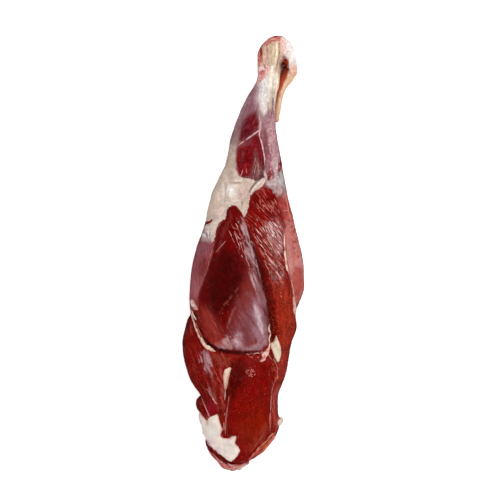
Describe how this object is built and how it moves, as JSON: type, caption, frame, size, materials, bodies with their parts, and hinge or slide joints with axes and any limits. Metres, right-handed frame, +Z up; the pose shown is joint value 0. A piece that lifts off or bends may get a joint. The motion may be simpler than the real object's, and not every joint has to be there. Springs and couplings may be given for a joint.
{
  "type": "raw leg of lamb",
  "caption": "Whole raw leg of lamb, bone in, skinned and trimmed, lying on its side: thigh muscles, shank, hock and the cut heel tendon.",
  "frame": {"origin": "middle of the leg's bounding box seen from above, at the height of the flat side that it rests on", "axes": "+Y along the leg towards the hock, +Z up out of the resting side towards the face that shows the muscles, +X across the leg towards the side of the cut heel tendon"},
  "size_m": [0.1344, 0.5014, 0.0936],
  "materials": {
    "raw_meat": "satin, moist raw meat with fat and silverskin"
  },
  "bodies": {
    "root": {"leg": "raw_meat"}
  },
  "joints": []
}
